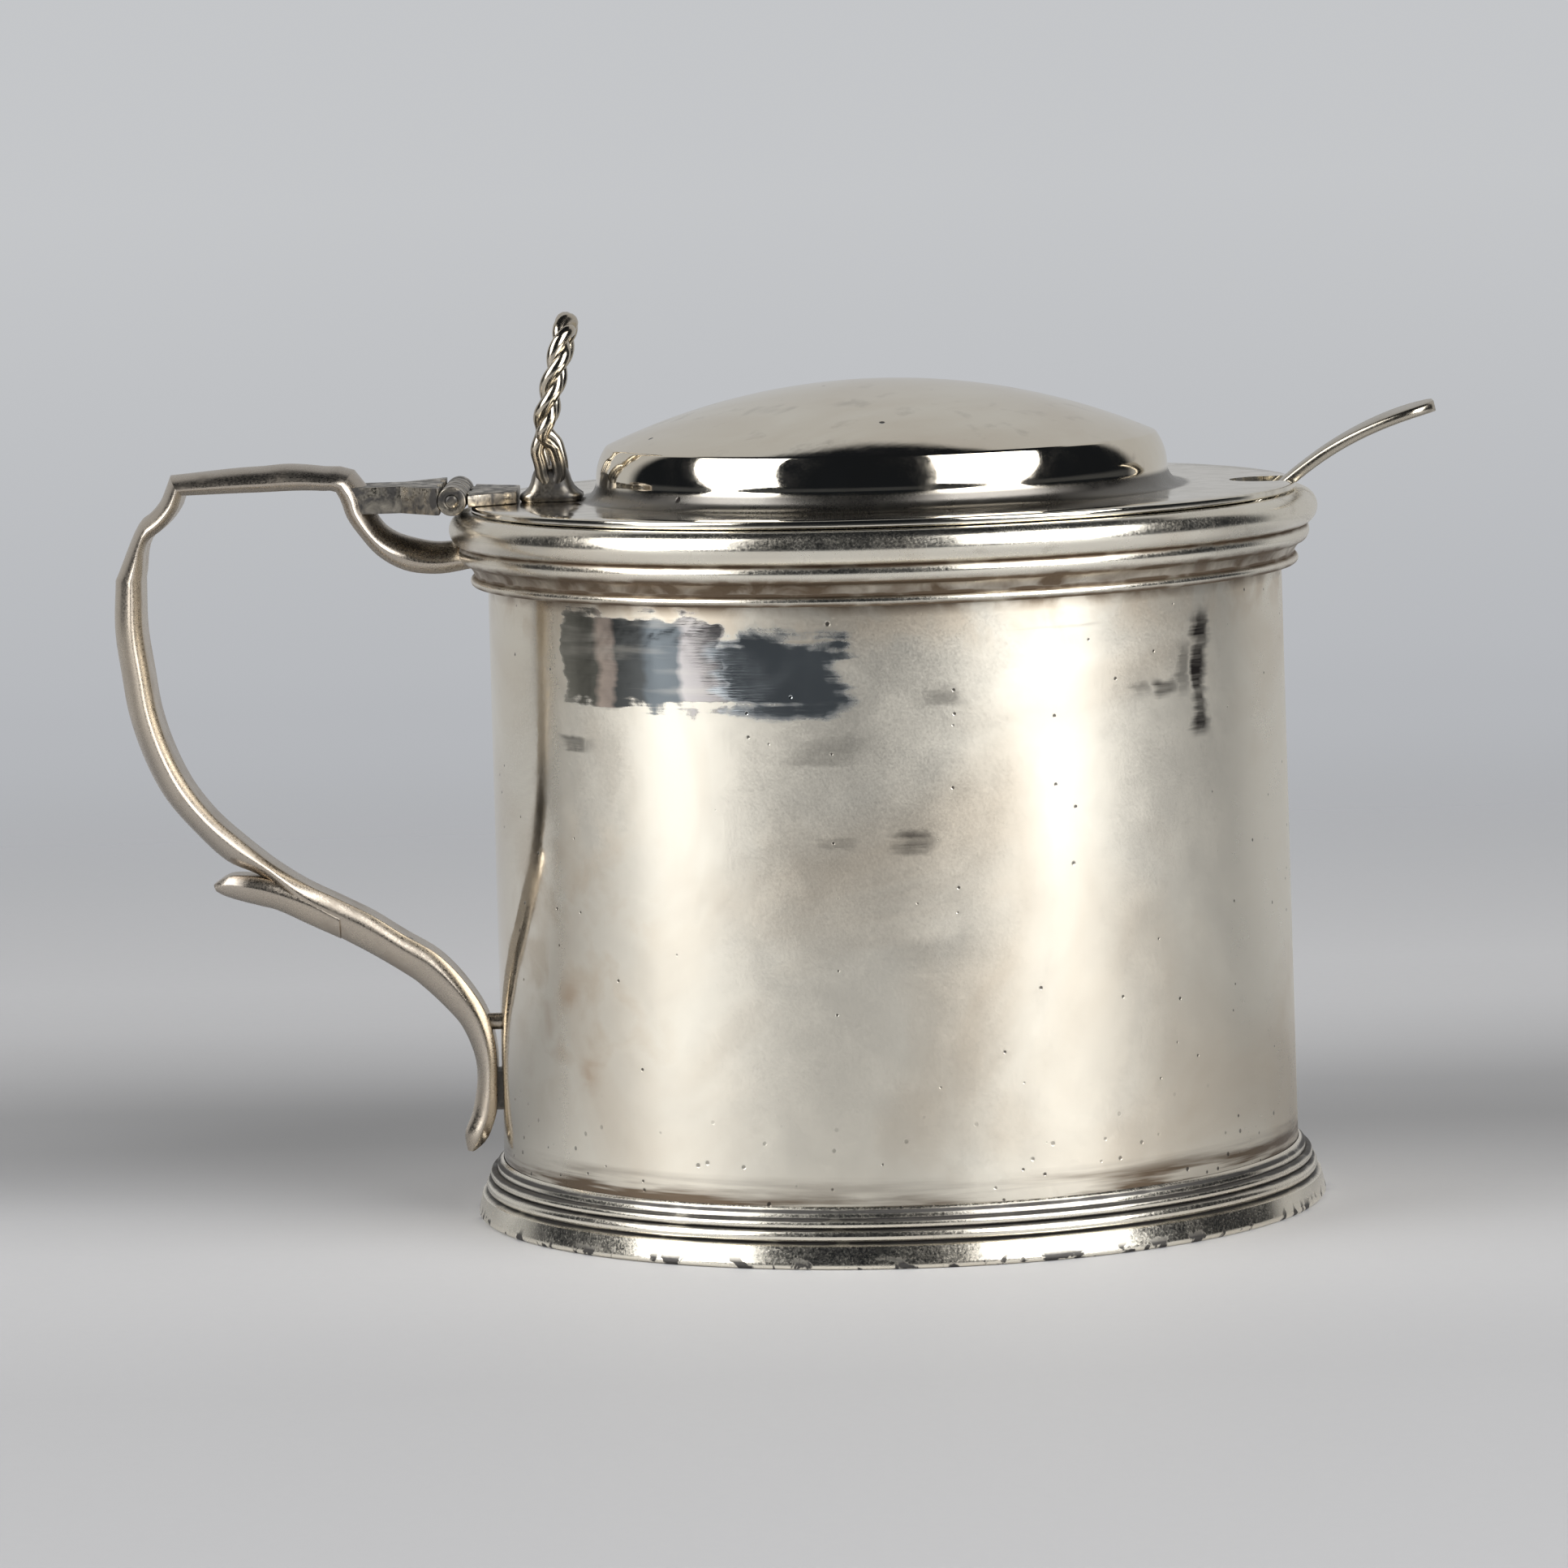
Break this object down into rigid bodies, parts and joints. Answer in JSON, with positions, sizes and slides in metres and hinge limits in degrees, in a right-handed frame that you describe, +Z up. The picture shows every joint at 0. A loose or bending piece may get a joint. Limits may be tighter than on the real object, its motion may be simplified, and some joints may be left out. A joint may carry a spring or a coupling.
{
  "type": "mustard pot",
  "caption": "Drum-shaped mustard pot with reeded rim and foot, low domed hinged lid with a rope thumbpiece, strap handle with a spur, glass liner, and a spoon leaving by a slot in the lid.",
  "frame": {"origin": "on the table plane at the drum's axis, in the middle of the flat underside", "axes": "+Z up along the drum's axis, -X towards the handle, +X towards the spoon, +Y away from the side that the picture shows"},
  "size_m": [0.1104, 0.0722, 0.0752],
  "materials": {
    "silver_drum": "tarnished satin",
    "silver_moulding": "worn polish, dark in the grooves",
    "silver_handle": "worn polish",
    "silver_hinge": "dull, dark in the joints",
    "silver_lid": "polished, lightly pitted",
    "silver_thumbpiece": "worn polish, dark between the strands",
    "silver_spoon": "polished",
    "blue_glass": "clear gloss"
  },
  "bodies": {
    "pot": {"drum_wall": "silver_drum", "base_plate": "silver_drum", "rim_moulding": "silver_moulding", "foot_moulding": "silver_moulding", "handle": "silver_handle", "handle_strut": "silver_handle", "handle_lug": "silver_handle", "hinge_bracket": "silver_hinge", "pot_knuckle_near": "silver_hinge", "pot_knuckle_middle": "silver_hinge", "pot_knuckle_far": "silver_hinge", "hinge_pin": "silver_hinge"},
    "lid": {"lid_cover": "silver_lid", "lid_leaf": "silver_hinge", "lid_knuckle_near": "silver_hinge", "lid_knuckle_far": "silver_hinge", "thumb_foot": "silver_thumbpiece", "thumb_loop": "silver_thumbpiece"},
    "liner": {"glass_liner": "blue_glass"},
    "spoon": {"mustard_spoon": "silver_spoon"}
  },
  "joints": [
    {"name": "lid_hinge", "type": "hinge", "parent": "pot", "child": "lid", "pos_m": [-0.0355, 0, 0.0602], "axis": [0, -1, 0], "range_deg": [0, 108]},
    {"name": "liner_lift", "type": "slide", "parent": "pot", "child": "liner", "axis": [0, 0, 1], "range_m": [0, 0.0015]},
    {"name": "spoon_slide", "type": "slide", "parent": "liner", "child": "spoon", "axis": [0.7876, 0, 0.6161], "range_m": [0, 0.04]}
  ]
}
